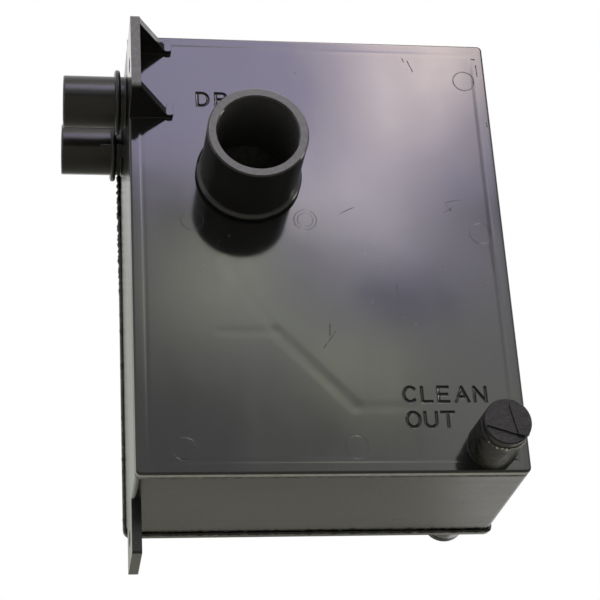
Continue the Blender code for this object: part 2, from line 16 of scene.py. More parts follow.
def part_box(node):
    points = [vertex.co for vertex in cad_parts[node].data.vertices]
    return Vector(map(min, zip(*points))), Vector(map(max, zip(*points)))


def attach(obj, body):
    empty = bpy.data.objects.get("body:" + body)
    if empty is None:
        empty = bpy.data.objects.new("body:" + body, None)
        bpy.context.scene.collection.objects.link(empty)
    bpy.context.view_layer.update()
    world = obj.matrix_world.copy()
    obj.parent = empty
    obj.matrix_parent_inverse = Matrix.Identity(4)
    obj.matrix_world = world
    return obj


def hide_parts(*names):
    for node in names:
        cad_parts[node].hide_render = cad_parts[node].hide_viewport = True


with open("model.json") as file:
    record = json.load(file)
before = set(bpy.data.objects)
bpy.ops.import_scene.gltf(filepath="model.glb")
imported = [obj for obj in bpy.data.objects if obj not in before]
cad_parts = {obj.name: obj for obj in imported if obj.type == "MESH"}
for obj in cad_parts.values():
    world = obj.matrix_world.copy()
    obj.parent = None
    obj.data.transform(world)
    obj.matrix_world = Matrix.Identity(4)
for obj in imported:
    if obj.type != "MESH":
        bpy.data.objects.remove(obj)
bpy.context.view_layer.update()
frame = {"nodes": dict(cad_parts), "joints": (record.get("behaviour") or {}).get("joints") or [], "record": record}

MM = 0.001

JOINTS = {joint["name"]: joint for joint in frame["joints"]}
MOUNTS = {mount["name"]: mount for mount in frame["record"]["mounts"]}
COVER_LOW, COVER_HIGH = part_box("front_cover")
FRONT_PLUG_AXIS = Vector(JOINTS["front_plug_turn"]["pos_m"])
REAR_PLUG_AXIS = Vector(JOINTS["rear_plug_turn"]["pos_m"])

# The box's six sides
LEFT_X = 0.0
RIGHT_X = COVER_HIGH.x
FRONT_Y = FRONT_PLUG_AXIS.y
REAR_Y = REAR_PLUG_AXIS.y
TOP_Z = COVER_HIGH.z
BASE_Z = COVER_LOW.z

# The front cover's panel. The plain solid has it sunk with a sloped edge. Here it is nearly
# flush, with a shallow sink round it, given as shares of its depth from the border inwards.
SOLID_SINK = 0.30 * MM
SINK_DEPTH = 0.027 * MM
SINK_SHARES = (0.0, 1.0, 0.88, 0.62, 0.42, 0.32)
PANEL_BORDER = 2.6 * MM
PANEL_SLOPE = 2.4 * MM
PANEL_Y = FRONT_Y + SINK_SHARES[-1] * SINK_DEPTH

# The cutters of the lettering and of the ejector marks
STROKE_RADIUS = 0.44 * MM
STROKE_DEPTH = 0.15 * MM
STROKE_END = 0.30 * MM
STROKE_STEP = 0.003 * MM
EJECTOR_RADIUS = 3.1 * MM
EJECTOR_LINE = 0.13 * MM

# The drain's axis, and how far its bore and the front boss reach from their axes
DRAIN_Z = 21.0 * MM
BORE_REACH = 11.2 * MM
BOSS_REACH = 7.2 * MM

# The screw tab and its ribs
TAB_FRONT_Y = FRONT_Y - 14.7 * MM
TAB_RIBS_REACH = 13.5 * MM
TAB_HEAD_Z = TOP_Z - 3.4 * MM
TAB_FOOT_Z = TAB_HEAD_Z - 24.0 * MM
TAB_LIFT = 0.6 * MM

# The box's outline, its welds, and its skin, behind which a face counts as inside
CORNER_RADIUS = 1.2 * MM
SKIN = 1.0 * MM
FLASH_Y = REAR_Y - 2.35 * MM
FLASH_INSET = -0.15 * MM
SEAM_Y = FRONT_Y + 2.75 * MM
SEAM_INSET = 0.62 * MM

# The front boss's rim
BOSS_RIM_Y = FRONT_Y - 13.6 * MM
BOSS_RIM_RADIUS = 6.32 * MM

# The plugs' threads. The shank's radius and the ridge's section, as radius and distance along the
# axis, are in millimetres.
THREAD_PITCH = 1.5 * MM
THREAD_LENGTH = 5.6 * MM
SHANK_RADIUS = 3.90
THREAD_SECTION = [(3.92, -0.50), (4.16, -0.16), (4.22, 0.0), (4.16, 0.16), (3.92, 0.50)]

# The camera stands where the photograph was taken from
CAMERA_PLACE = (-0.026428, -0.446256, -0.217778)
CAMERA_TURN = (115.2566, 3.3106, -7.9968)
CAMERA_LENS = 106.457
SENSOR_WIDTH = 36.0


def on_face(across, height, y=PANEL_Y):
    """A point of the front view, in millimetres from the mounting wall and the underside."""
    return Vector((across * MM, y, BASE_Z + height * MM))


class Nodes:
    """Short ways to build a material's node tree."""

    def __init__(self, owner, coordinates="Object"):
        owner.use_nodes = True
        self.tree = owner.node_tree
        self.tree.nodes.clear()
        self.place = self.add("ShaderNodeTexCoord").outputs[coordinates]

    def add(self, kind, **settings):
        node = self.tree.nodes.new(kind)
        for name, value in settings.items():
            setattr(node, name, value)
        return node

    def set(self, socket, value):
        if isinstance(value, bpy.types.NodeSocket):
            self.tree.links.new(value, socket)
        else:
            socket.default_value = value

    def math(self, operation, a, b=0.0, clamp=False):
        node = self.add("ShaderNodeMath", operation=operation, use_clamp=clamp)
        self.set(node.inputs[0], a)
        self.set(node.inputs[1], b)
        return node.outputs[0]

    def vector(self, operation, a, b=(0, 0, 0)):
        node = self.add("ShaderNodeVectorMath", operation=operation)
        self.set(node.inputs[0], a)
        self.set(node.inputs[1], b)
        return node

    def range(self, value, low, high, to_low=0.0, to_high=1.0):
        node = self.add("ShaderNodeMapRange", interpolation_type="SMOOTHSTEP")
        self.set(node.inputs["Value"], value)
        node.inputs["From Min"].default_value = low
        node.inputs["From Max"].default_value = high
        node.inputs["To Min"].default_value = to_low
        node.inputs["To Max"].default_value = to_high
        return node.outputs["Result"]

    def noise(self, per_metre, detail=2.0, rough=0.5, stretch=(1, 1, 1), shift=0.0):
        place = self.vector("MULTIPLY", self.place, stretch).outputs[0]
        place = self.vector("ADD", place, (shift, shift, shift)).outputs[0]
        node = self.add("ShaderNodeTexNoise")
        self.set(node.inputs["Vector"], place)
        node.inputs["Scale"].default_value = per_metre
        node.inputs["Detail"].default_value = detail
        node.inputs["Roughness"].default_value = rough
        return node.outputs["Fac"]

    def between(self, value, low, high, soft):
        """1 between two values, falling softly to 0 beyond them."""
        rising = self.range(value, low - soft, low + soft)
        falling = self.range(value, high - soft, high + soft, 1.0, 0.0)
        return self.math("MULTIPLY", rising, falling)

    def line(self, start, end, half_width):
        """1 on a line between two points of the front view, falling smoothly to 0 at its edges."""
        flat = self.vector("MULTIPLY", self.place, (1, 0, 1)).outputs[0]
        start = Vector((start.x, 0, start.z))
        run = Vector((end.x, 0, end.z)) - start
        away = self.vector("SUBTRACT", flat, start).outputs[0]
        along = self.vector("DOT_PRODUCT", away, run).outputs["Value"]
        share = self.math("DIVIDE", along, run.length_squared, clamp=True)
        nearest = self.add("ShaderNodeVectorMath", operation="SCALE")
        nearest.inputs[0].default_value = run
        self.set(nearest.inputs["Scale"], share)
        gap = self.vector("SUBTRACT", away, nearest.outputs[0]).outputs[0]
        distance = self.vector("LENGTH", gap).outputs["Value"]
        return self.range(distance, 0.0, half_width, 1.0, 0.0)

    def mix(self, share, a, b):
        node = self.add("ShaderNodeMix", data_type="RGBA")
        self.set(node.inputs["Factor"], share)
        colours = [socket for socket in node.inputs if socket.type == "RGBA"]
        self.set(colours[0], a)
        self.set(colours[1], b)
        return [socket for socket in node.outputs if socket.type == "RGBA"][0]

    def total(self, values):
        found = values[0]
        for value in values[1:]:
            found = self.math("ADD", found, value)
        return found

    def finish(self, colour, roughness, height, edge_radius, ior=1.5):
        rounded = self.add("ShaderNodeBevel", samples=4)
        rounded.inputs["Radius"].default_value = edge_radius
        bump = self.add("ShaderNodeBump")
        bump.inputs["Strength"].default_value = 1.0
        bump.inputs["Distance"].default_value = 1.0
        self.set(bump.inputs["Height"], height)
        self.set(bump.inputs["Normal"], rounded.outputs["Normal"])
        shader = self.add("ShaderNodeBsdfPrincipled")
        self.set(shader.inputs["Base Color"], colour)
        self.set(shader.inputs["Roughness"], roughness)
        shader.inputs["IOR"].default_value = ior
        self.set(shader.inputs["Normal"], bump.outputs["Normal"])
        output = self.add("ShaderNodeOutputMaterial")
        self.set(output.inputs["Surface"], shader.outputs["BSDF"])


# Faint sinks in the face over the walls inside: start, end, half width, depth, in millimetres
SINKS = [
    ((24.6, 60.2), (37.7, 39.5), 2.4, 0.006),
    ((37.7, 39.5), (57.5, 18.2), 2.8, 0.011),
    ((57.5, 18.2), (73.0, 18.2), 2.4, 0.006),
    ((22.8, 39.5), (36.0, 39.5), 2.2, 0.005),
]

# Scratches in the face: start, end and half width, in millimetres
SCRATCHES = [
    ((80.1, 125.2), (81.4, 121.6), 0.16),
    ((78.6, 126.0), (79.0, 124.8), 0.14),
    ((86.9, 79.0), (90.8, 79.9), 0.15),
    ((86.3, 75.8), (89.4, 77.8), 0.15),
    ((87.0, 78.4), (88.6, 76.2), 0.12),
    ((57.2, 75.2), (60.8, 77.0), 0.12),
    ((52.1, 41.9), (51.9, 38.2), 0.20),
    ((53.6, 39.6), (50.1, 35.0), 0.15),
    ((46.5, 120.4), (47.1, 119.8), 0.30),
    ((30.5, 123.4), (31.0, 123.0), 0.22),
    ((100.2, 124.2), (100.3, 120.6), 0.22),
    ((99.2, 126.4), (100.0, 126.2), 0.30),
    ((101.4, 105.0), (101.6, 103.8), 0.25),
    ((98.0, 66.0), (98.6, 58.0), 0.10),
    ((71.0, 54.2), (71.3, 50.4), 0.10),
]


def black_plastic(name, base, rough, wave, grain, dust, ior=1.5, face_marks=False):
    """Moulded black plastic: waves and flow marks in the gloss, fine grain, dust and scuffs."""
    material = bpy.data.materials.new(name)
    n = Nodes(material)
    slow = n.noise(34, 2, 0.5)
    ripple = n.noise(150, 3, 0.55, shift=3.1)
    peel = n.noise(900, 2, 0.5, shift=1.7)
    fine = n.noise(3800, 3, 0.6, shift=5.3)
    height = n.total([
        n.math("MULTIPLY", slow, wave),
        n.math("MULTIPLY", ripple, wave * 0.10),
        n.math("MULTIPLY", peel, grain * 2.2),
        n.math("MULTIPLY", fine, grain),
    ])
    flow = n.noise(60, 4, 0.6, stretch=(1.0, 1.0, 0.22), shift=8.0)
    smear = n.range(flow, 0.35, 0.75)
    cloud = n.range(n.noise(22, 4, 0.6, shift=12.0), 0.38, 0.70)
    dusty = n.math("MULTIPLY", n.range(n.noise(1500, 4, 0.7, shift=20.0), 0.60, 0.78), cloud)
    fewest, most = (0.76, 0.80) if face_marks else (0.69, 0.75)
    specks = n.range(n.noise(2300, 1, 0.5, shift=31.0), fewest, most)
    specks = n.math("MULTIPLY", specks, n.range(n.noise(70, 2, 0.5, shift=41.0), 0.52, 0.66))
    dusty = n.math("MULTIPLY", dusty, dust)
    pale = n.math("ADD", dusty, n.math("MULTIPLY", specks, 0.55), clamp=True)
    roughness = n.math("ADD", n.math("MULTIPLY", smear, 0.04), rough)
    roughness = n.math("ADD", roughness, n.math("MULTIPLY", cloud, 0.03))
    if face_marks:
        for start, end, half_width, depth in SINKS:
            sink = n.line(on_face(*start), on_face(*end), half_width * MM)
            height = n.math("SUBTRACT", height, n.math("MULTIPLY", sink, depth * MM))
        scratched = n.total([
            n.line(on_face(*start), on_face(*end), half * MM) for start, end, half in SCRATCHES
        ])
        ragged = n.range(n.noise(2600, 2, 0.6, shift=55.0), 0.38, 0.62)
        scratched = n.math("MULTIPLY", scratched, ragged, clamp=True)
        height = n.math("SUBTRACT", height, n.math("MULTIPLY", scratched, 0.034 * MM))
        roughness = n.math("ADD", roughness, n.math("MULTIPLY", scratched, 0.30))
    else:
        pits = n.math("MULTIPLY", n.range(n.noise(1100, 3, 0.6, shift=61.0), 0.64, 0.72), cloud)
        height = n.math("SUBTRACT", height, n.math("MULTIPLY", pits, 0.06 * MM))
        streaks = n.range(n.noise(260, 3, 0.6, stretch=(0.05, 1.0, 0.05), shift=71.0), 0.40, 0.66)
        roughness = n.math("ADD", roughness, n.math("MULTIPLY", streaks, 0.025))
    roughness = n.math("ADD", roughness, n.math("MULTIPLY", pale, 0.35), clamp=True)
    dark = (*base, 1)
    colour = n.mix(n.math("MULTIPLY", smear, 0.5), dark, tuple(c * 1.7 for c in base) + (1,))
    colour = n.mix(pale, colour, (0.20, 0.195, 0.18, 1))
    n.finish(colour, roughness, height, 0.25 * MM, ior)
    return material


def rough_plastic(name, dark, light, coarse, ior):
    """Dull black plastic with a coarse, uneven skin and a little pale dirt in it."""
    material = bpy.data.materials.new(name)
    n = Nodes(material)
    lumps = n.noise(620, 4, 0.65)
    fine = n.noise(2600, 3, 0.65, shift=4.0)
    height = n.math("MULTIPLY", lumps, coarse)
    height = n.math("ADD", height, n.math("MULTIPLY", fine, coarse * 0.30))
    mottle = n.range(n.noise(520, 4, 0.70, shift=9.0), 0.36, 0.64)
    dirt = n.range(n.noise(1700, 3, 0.6, shift=15.0), 0.70, 0.78)
    colour = n.mix(mottle, (*dark, 1), (*light, 1))
    colour = n.mix(n.math("MULTIPLY", dirt, 0.30), colour, (0.30, 0.29, 0.26, 1))
    roughness = n.math("ADD", n.math("MULTIPLY", mottle, 0.22), 0.34)
    n.finish(colour, roughness, height, 0.2 * MM, ior)
    return material


def trimmed_plastic(name, base, rough):
    """The same plastic where it is trimmed or rubbed: paler and duller, with fine turning lines."""
    material = bpy.data.materials.new(name)
    n = Nodes(material)
    mottle = n.range(n.noise(700, 4, 0.6), 0.35, 0.68)
    fine = n.noise(3200, 3, 0.6, shift=2.0)
    colour = n.mix(mottle, (*base, 1), tuple(c * 1.6 for c in base) + (1,))
    height = n.math("MULTIPLY", fine, 0.006 * MM)
    n.finish(colour, n.math("ADD", n.math("MULTIPLY", mottle, 0.12), rough), height, 0.2 * MM)
    return material


def rubber(name):
    """Black rubber with a faint grey bloom."""
    material = bpy.data.materials.new(name)
    n = Nodes(material)
    bloom = n.range(n.noise(420, 4, 0.6), 0.4, 0.75)
    colour = n.mix(bloom, (0.010, 0.010, 0.010, 1), (0.030, 0.030, 0.029, 1))
    height = n.math("MULTIPLY", n.noise(5200, 2, 0.5), 0.004 * MM)
    n.finish(colour, n.math("ADD", n.math("MULTIPLY", bloom, 0.15), 0.62), height, 0.2 * MM)
    return material


def backdrop(name, colour):
    """The floor's plain matte material."""
    material = bpy.data.materials.new(name)
    n = Nodes(material)
    tone = n.mix(n.noise(3, 2, 0.5), (*colour, 1), tuple(c * 0.97 for c in colour) + (1,))
    n.finish(tone, 0.9, 0.0, 0.1 * MM)
    return material


def link(name, mesh):
    piece = bpy.data.objects.new(name, mesh)
    bpy.context.scene.collection.objects.link(piece)
    return piece


def from_bmesh(name, bm):
    mesh = bpy.data.meshes.new(name)
    bm.to_mesh(mesh)
    bm.free()
    return link(name, mesh)


def cleaned_copy(node, name):
    """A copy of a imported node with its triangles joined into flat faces."""
    bm = bmesh.new()
    bm.from_mesh(frame["nodes"][node].data)
    bmesh.ops.remove_doubles(bm, verts=bm.verts, dist=0.002 * MM)
    bmesh.ops.dissolve_limit(bm, angle_limit=math.radians(0.4), verts=bm.verts, edges=bm.edges)
    for face in bm.faces:
        face.material_index = 0
    piece = from_bmesh(name, bm)
    if "custom_normal" in piece.data.attributes:
        piece.data.attributes.remove(piece.data.attributes["custom_normal"])
    return piece


def evaluated(piece):
    """Puts a piece's modifiers into its mesh."""
    graph = bpy.context.evaluated_depsgraph_get()
    mesh = bpy.data.meshes.new_from_object(piece.evaluated_get(graph))
    piece.modifiers.clear()
    piece.data = mesh
    return piece


def engrave(piece, cutter):
    """Cuts a cutter out of a piece and takes the cutter away."""
    modifier = piece.modifiers.new("engraving", "BOOLEAN")
    modifier.operation = "DIFFERENCE"
    modifier.solver = "EXACT"
    modifier.use_self = True
    modifier.object = cutter
    evaluated(piece)
    bpy.data.objects.remove(cutter, do_unlink=True)


def smooth(piece, angle=34):
    """Smooth shading up to an angle in degrees, with the large faces kept flat."""
    piece.data.shade_smooth()
    piece.data.set_sharp_from_angle(angle=math.radians(angle))
    weighted = piece.modifiers.new("weighted", "WEIGHTED_NORMAL")
    weighted.keep_sharp = True
    weighted.weight = 90
    return piece


def tubes(name, routes, radius):
    """Round tubes along open or closed routes, as one mesh."""
    curve = bpy.data.curves.new(name, "CURVE")
    curve.dimensions = "3D"
    curve.bevel_depth = radius
    curve.bevel_resolution = 2
    curve.use_fill_caps = True
    for points, closed in routes:
        spline = curve.splines.new("POLY")
        spline.points.add(len(points) - 1)
        for point, place in zip(spline.points, points):
            point.co = (*place, 1)
        spline.use_cyclic_u = closed
    shape = link(name + "_route", curve)
    graph = bpy.context.evaluated_depsgraph_get()
    mesh = bpy.data.meshes.new_from_object(shape.evaluated_get(graph))
    bpy.data.objects.remove(shape, do_unlink=True)
    bm = bmesh.new()
    bm.from_mesh(mesh)
    bmesh.ops.remove_doubles(bm, verts=bm.verts, dist=0.002 * MM)
    bmesh.ops.recalc_face_normals(bm, faces=bm.faces)
    return from_bmesh(name, bm)


def bow(centre, radii, start, end, steps=14):
    """Points on an elliptical arc, with its angles in degrees."""
    found = []
    for i in range(steps + 1):
        angle = math.radians(start + (end - start) * i / steps)
        across = centre[0] + radii[0] * math.cos(angle)
        found.append((across, centre[1] + radii[1] * math.sin(angle)))
    return found


# Plain capitals on a cap height of 1, as strokes of a round cutter, each with whether it closes
GLYPHS = {
    "A": [([(0.00, 0.0), (0.42, 1.0)], False), ([(0.42, 1.0), (0.84, 0.0)], False),
          ([(0.20, 0.33), (0.64, 0.33)], False)],
    "C": [(bow((0.44, 0.5), (0.42, 0.5), 48, 312), False)],
    "D": [([(0.0, 0.0), (0.0, 1.0)], False),
          ([(0.0, 1.0), (0.30, 1.0)] + bow((0.34, 0.5), (0.42, 0.5), 80, -80)
           + [(0.30, 0.0), (0.0, 0.0)], False)],
    "E": [([(0.0, 0.0), (0.0, 1.0)], False), ([(0.0, 1.0), (0.66, 1.0)], False),
          ([(0.0, 0.5), (0.58, 0.5)], False), ([(0.0, 0.0), (0.68, 0.0)], False)],
    "I": [([(0.0, 0.0), (0.0, 1.0)], False)],
    "L": [([(0.0, 1.0), (0.0, 0.0)], False), ([(0.0, 0.0), (0.64, 0.0)], False)],
    "N": [([(0.0, 0.0), (0.0, 1.0)], False), ([(0.0, 1.0), (0.74, 0.0)], False),
          ([(0.74, 0.0), (0.74, 1.0)], False)],
    "O": [(bow((0.42, 0.5), (0.42, 0.5), 0, 345, 23), True)],
    "R": [([(0.0, 0.0), (0.0, 1.0)], False),
          ([(0.0, 1.0), (0.40, 1.0)] + bow((0.44, 0.76), (0.26, 0.24), 80, -80, 8)
           + [(0.40, 0.52), (0.0, 0.52)], False),
          ([(0.36, 0.52), (0.70, 0.0)], False)],
    "T": [([(0.0, 1.0), (0.80, 1.0)], False), ([(0.40, 1.0), (0.40, 0.0)], False)],
    "U": [([(0.0, 1.0), (0.0, 0.36)] + bow((0.37, 0.36), (0.37, 0.36), 180, 360, 10)
           + [(0.74, 1.0)], False)],
}
GLYPH_WIDTHS = {
    "A": 0.84, "C": 0.80, "D": 0.76, "E": 0.72, "I": 0.0, "L": 0.66, "N": 0.74, "O": 0.84,
    "R": 0.72, "T": 0.80, "U": 0.74,
}


def word_routes(word, left, base, height, width):
    """The strokes of a word on the front face, fitted to a width, all in millimetres."""
    letters = sum(GLYPH_WIDTHS[letter] for letter in word) * height
    gap = (width - letters) / (len(word) - 1)
    routes = []
    x = left
    for letter in word:
        for stroke, closed in GLYPHS[letter]:
            y = PANEL_Y + STROKE_DEPTH + STROKE_STEP * len(routes)
            points = [on_face(x + u * height, base + v * height, y) for u, v in stroke]
            if not closed:
                points[0] += (points[0] - points[1]).normalized() * STROKE_END
                points[-1] += (points[-1] - points[-2]).normalized() * STROKE_END
            routes.append((points, closed))
        x += GLYPH_WIDTHS[letter] * height + gap
    return routes


def ring_route(across, height, radius, depth, steps=48):
    """A ring whose tube dips a little way into the face."""
    points = bow((across, height), (radius / MM, radius / MM), 0, 360, steps)[:-1]
    y = PANEL_Y - EJECTOR_LINE + depth
    return [on_face(x, z, y) for x, z in points], True


def soften_panel(cover):
    """Lifts the sunk panel until it is nearly flush, with only a soft band round it."""
    steps = len(SINK_SHARES) - 1
    bm = bmesh.new()
    bm.from_mesh(cover.data)
    for vertex in bm.verts:
        place = vertex.co
        sunk = (place.y - FRONT_Y) / SOLID_SINK
        from_edge = min(place.x - LEFT_X, RIGHT_X - place.x, place.z - BASE_Z, TOP_Z - place.z)
        if from_edge > PANEL_BORDER - 0.2 * MM and -0.01 < sunk < 1.02:
            share = SINK_SHARES[-1]
            if sunk < 0.99 and from_edge < PANEL_BORDER + PANEL_SLOPE + 0.2 * MM:
                at = math.acos(max(-1.0, min(1.0, 1 - 2 * sunk))) / math.pi * steps
                low = min(int(at), steps - 1)
                share = SINK_SHARES[low] + (SINK_SHARES[low + 1] - SINK_SHARES[low]) * (at - low)
            place.y = FRONT_Y + share * SINK_DEPTH
    bmesh.ops.remove_doubles(bm, verts=bm.verts, dist=0.002 * MM)
    bm.to_mesh(cover.data)
    bm.free()


def even_panel(cover):
    """Gives the flat panel one exact normal, so that cuts in it leave no streaks in its gloss."""
    evaluated(cover)
    mesh = cover.data
    flat = [
        face for face in mesh.polygons
        if face.normal.y < -0.999 and abs(face.center.y - PANEL_Y) < 0.002 * MM
    ]
    corners = set()
    for face in flat:
        corners.update(face.vertices)
    normals = [corner.vector.copy() for corner in mesh.corner_normals]
    for face in flat:
        for i in face.loop_indices:
            normals[i] = Vector((0, -1, 0))
    for i, loop in enumerate(mesh.loops):
        if loop.vertex_index in corners and normals[i].y < -0.90:
            normals[i] = Vector((0, -1, 0))
    mesh.normals_split_custom_set(normals)


def lift_tab(cover):
    """Raises the tab's front end a little, as the photograph shows it."""
    reach = FRONT_Y - TAB_FRONT_Y
    for vertex in cover.data.vertices:
        place = vertex.co
        forward = (FRONT_Y - place.y) / reach
        if forward > 0 and place.x < TAB_RIBS_REACH and place.z > TAB_FOOT_Z:
            below = (TAB_HEAD_Z - place.z) / (TAB_HEAD_Z - TAB_FOOT_Z)
            place.z += forward * (1 + below) * TAB_LIFT


# Ejector marks: across and height in millimetres, share of the usual radius, depth in millimetres
EJECTOR_MARKS = [
    (96.1, 118.8, 1.00, 0.050),
    (96.0, 69.6, 1.00, 0.028),
    (47.3, 73.0, 1.00, 0.034),
    (47.3, 73.0, 0.68, 0.028),
    (12.6, 6.8, 1.00, 0.030),
    (56.9, 7.1, 1.00, 0.036),
    (16.4, 72.6, 1.00, 0.034),
]


def make_front_cover(plastic, trimmed, rough, inside, bore):
    """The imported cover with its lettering, ejector marks and materials."""
    cover = cleaned_copy("front_cover", "front_cover_moulding")
    soften_panel(cover)
    lift_tab(cover)
    words = (
        word_routes("CLEAN", 70.3, 19.65, 4.1, 22.1)
        + word_routes("OUT", 70.7, 12.55, 4.1, 12.6)
        + word_routes("DRAIN", 19.1, 108.65, 4.0, 20.8)
    )
    engrave(cover, tubes("lettering", words, STROKE_RADIUS))
    rings = [
        ring_route(x, z, share * EJECTOR_RADIUS, depth * MM) for x, z, share, depth in EJECTOR_MARKS
    ]
    engrave(cover, tubes("ejector_marks", rings, EJECTOR_LINE))
    cover.data.materials.clear()
    for material in (plastic, trimmed, rough, inside, bore):
        cover.data.materials.append(material)
    drain_x, drain_end, _ = MOUNTS["drain_stub_end"]["pos_m"]
    for face in cover.data.polygons:
        middle = face.center
        from_plug = math.hypot(middle.x - FRONT_PLUG_AXIS.x, middle.z - FRONT_PLUG_AXIS.z)
        from_drain = math.hypot(middle.x - drain_x, middle.z - DRAIN_Z)
        on_rim = abs(middle.y - drain_end) < 0.05 * MM
        on_tab = abs(middle.y - TAB_FRONT_Y) < 0.3 * MM and face.normal.y < -0.8
        if on_rim or on_tab:
            face.material_index = 1
        elif from_plug < BOSS_REACH and middle.y < FRONT_Y - 0.6 * MM:
            face.material_index = 2
        elif middle.y > FRONT_Y + SKIN:
            face.material_index = 3
        elif from_drain < BORE_REACH and abs(face.normal.y) < 0.5:
            face.material_index = 4
    smooth(cover)
    even_panel(cover)
    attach(cover, "housing")
    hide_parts("front_cover")


def dressed(node, name, body, materials, inner=None):
    """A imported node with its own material, and the second one where inner says so of a face."""
    piece = cleaned_copy(node, name)
    piece.data.materials.clear()
    for material in materials:
        piece.data.materials.append(material)
    if inner:
        for face in piece.data.polygons:
            face.material_index = int(inner(face))
    smooth(piece)
    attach(piece, body)
    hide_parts(node)


def inside_box(face):
    """Whether a face of the walls or the rear cover looks into the box."""
    x, y, z = face.center
    within_x = LEFT_X + SKIN < x < RIGHT_X - SKIN
    within_z = BASE_Z + SKIN < z < TOP_Z - SKIN
    return within_x and within_z and y < REAR_Y - SKIN


def perimeter(inset, step):
    """Points round the box's outline seen from the front, moved in, with the way out at each."""
    radius = CORNER_RADIUS
    low = Vector((LEFT_X + inset, 0, BASE_Z + inset))
    high = Vector((RIGHT_X - inset, 0, TOP_Z - inset))
    corners = [
        (Vector((high.x - radius, 0, high.z - radius)), 0),
        (Vector((low.x + radius, 0, high.z - radius)), 90),
        (Vector((low.x + radius, 0, low.z + radius)), 180),
        (Vector((high.x - radius, 0, low.z + radius)), 270),
    ]
    found = []
    for i, (centre, start) in enumerate(corners):
        for j in range(5):
            angle = math.radians(start + 90 * j / 4)
            out = Vector((math.cos(angle), 0, math.sin(angle)))
            found.append((centre + out * radius, out))
        angle = math.radians(start + 90)
        out = Vector((math.cos(angle), 0, math.sin(angle)))
        here = centre + out * radius
        there = corners[(i + 1) % 4][0] + out * radius
        count = int((there - here).length / step)
        for j in range(1, count):
            found.append((here.lerp(there, j / count), out))
    return found


def loop_mesh(name, rings):
    """A closed tube through rings of points that all have the same count."""
    bm = bmesh.new()
    made = [[bm.verts.new(point) for point in ring] for ring in rings]
    count = len(made[0])
    for i, ring in enumerate(made):
        following = made[(i + 1) % len(made)]
        for j in range(count):
            k = (j + 1) % count
            bm.faces.new((ring[j], ring[k], following[k], following[j]))
    bmesh.ops.recalc_face_normals(bm, faces=bm.faces)
    return from_bmesh(name, bm)


def make_rear_flash(plastic):
    """The ragged bead that the hot weld pressed out between the walls and the rear cover."""
    rings = []
    for centre, out in perimeter(FLASH_INSET, 0.45 * MM):
        seed = centre * 330
        lump = noise.noise(seed) * 0.5 + noise.noise(seed * 3.1) * 0.35
        torn = max(0.0, min(1.0, (centre.z + 10 * MM) / (35 * MM))) if out.x < -0.9 else 0.0
        width = (0.50 + 0.34 * lump + 0.35 * torn) * MM
        rise = (0.55 + 0.42 * noise.noise(seed * 1.7 + Vector((7, 3, 1)))) * MM
        rise += torn * (0.35 + 0.55 * noise.noise(seed * 2.9 + Vector((2, 5, 8)))) * MM
        drift = 0.30 * noise.noise(seed * 0.8 + Vector((1, 9, 4))) * MM
        ring = []
        for j in range(8):
            angle = math.tau * j / 8
            along = FLASH_Y + drift + width * math.sin(angle)
            ring.append(centre + out * (rise * math.cos(angle)) + Vector((0, along, 0)))
        rings.append(ring)
    flash = loop_mesh("rear_weld_flash", rings)
    flash.data.materials.append(plastic)
    smooth(flash, 60)
    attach(flash, "housing")


def make_front_seam(plastic):
    """A low, even weld line in the groove behind the front cover."""
    rings = []
    for centre, out in perimeter(SEAM_INSET, 0.6 * MM):
        lump = noise.noise(centre * 420)
        width = (0.26 + 0.07 * lump) * MM
        ring = []
        for j in range(6):
            angle = math.tau * j / 6
            along = SEAM_Y + width * math.sin(angle)
            ring.append(centre + out * (width * math.cos(angle)) + Vector((0, along, 0)))
        rings.append(ring)
    seam = loop_mesh("front_weld_line", rings)
    seam.data.materials.append(plastic)
    smooth(seam, 60)
    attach(seam, "housing")


def make_thread(name, axis, outward, start, body, plastic):
    """The plug's thread: a rounded ridge that climbs its shank."""
    length = THREAD_LENGTH
    turns = length / THREAD_PITCH
    steps = int(turns * 40)
    bm = bmesh.new()
    rings = []
    for i in range(steps + 1):
        angle = math.tau * turns * i / steps
        along = start + length * i / steps
        fade = min(1.0, i / 30, (steps - i) / 30)
        ring = []
        for radius, offset in THREAD_SECTION:
            r = (SHANK_RADIUS + (radius - SHANK_RADIUS) * fade) * MM
            ring.append(bm.verts.new((
                axis.x + r * math.cos(angle),
                axis.y + outward * (along + offset * MM * fade),
                axis.z - outward * r * math.sin(angle),
            )))
        rings.append(ring)
    for ring, following in zip(rings, rings[1:]):
        for j in range(len(THREAD_SECTION)):
            k = (j + 1) % len(THREAD_SECTION)
            bm.faces.new((ring[j], ring[k], following[k], following[j]))
    bm.faces.new(rings[0])
    bm.faces.new(rings[-1])
    bmesh.ops.recalc_face_normals(bm, faces=bm.faces)
    thread = from_bmesh(name, bm)
    thread.data.materials.append(plastic)
    smooth(thread, 50)
    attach(thread, body)


def make_rim_crumbs(pale):
    """Pale torn flakes along the lower edge of the front boss's rim."""
    random.seed(11)
    bm = bmesh.new()
    for i in range(70):
        angle = math.radians(random.triangular(-150, 0, -40))
        place = Vector((
            FRONT_PLUG_AXIS.x + BOSS_RIM_RADIUS * math.cos(angle),
            BOSS_RIM_Y + random.uniform(-0.15, 0.75) * MM,
            FRONT_PLUG_AXIS.z + BOSS_RIM_RADIUS * math.sin(angle),
        ))
        size = random.uniform(0.10, 0.42) * MM
        by = random.uniform(0, math.tau)
        turn = Matrix.Rotation(by, 4, Vector((random.random(), random.random(), 1)))
        shape = Matrix.Diagonal((1.0, random.uniform(0.3, 0.8), random.uniform(0.4, 1.0), 1))
        bmesh.ops.create_icosphere(
            bm, subdivisions=1, radius=size, matrix=Matrix.Translation(place) @ turn @ shape
        )
    crumbs = from_bmesh("boss_rim_flakes", bm)
    crumbs.data.materials.append(pale)
    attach(crumbs, "housing")


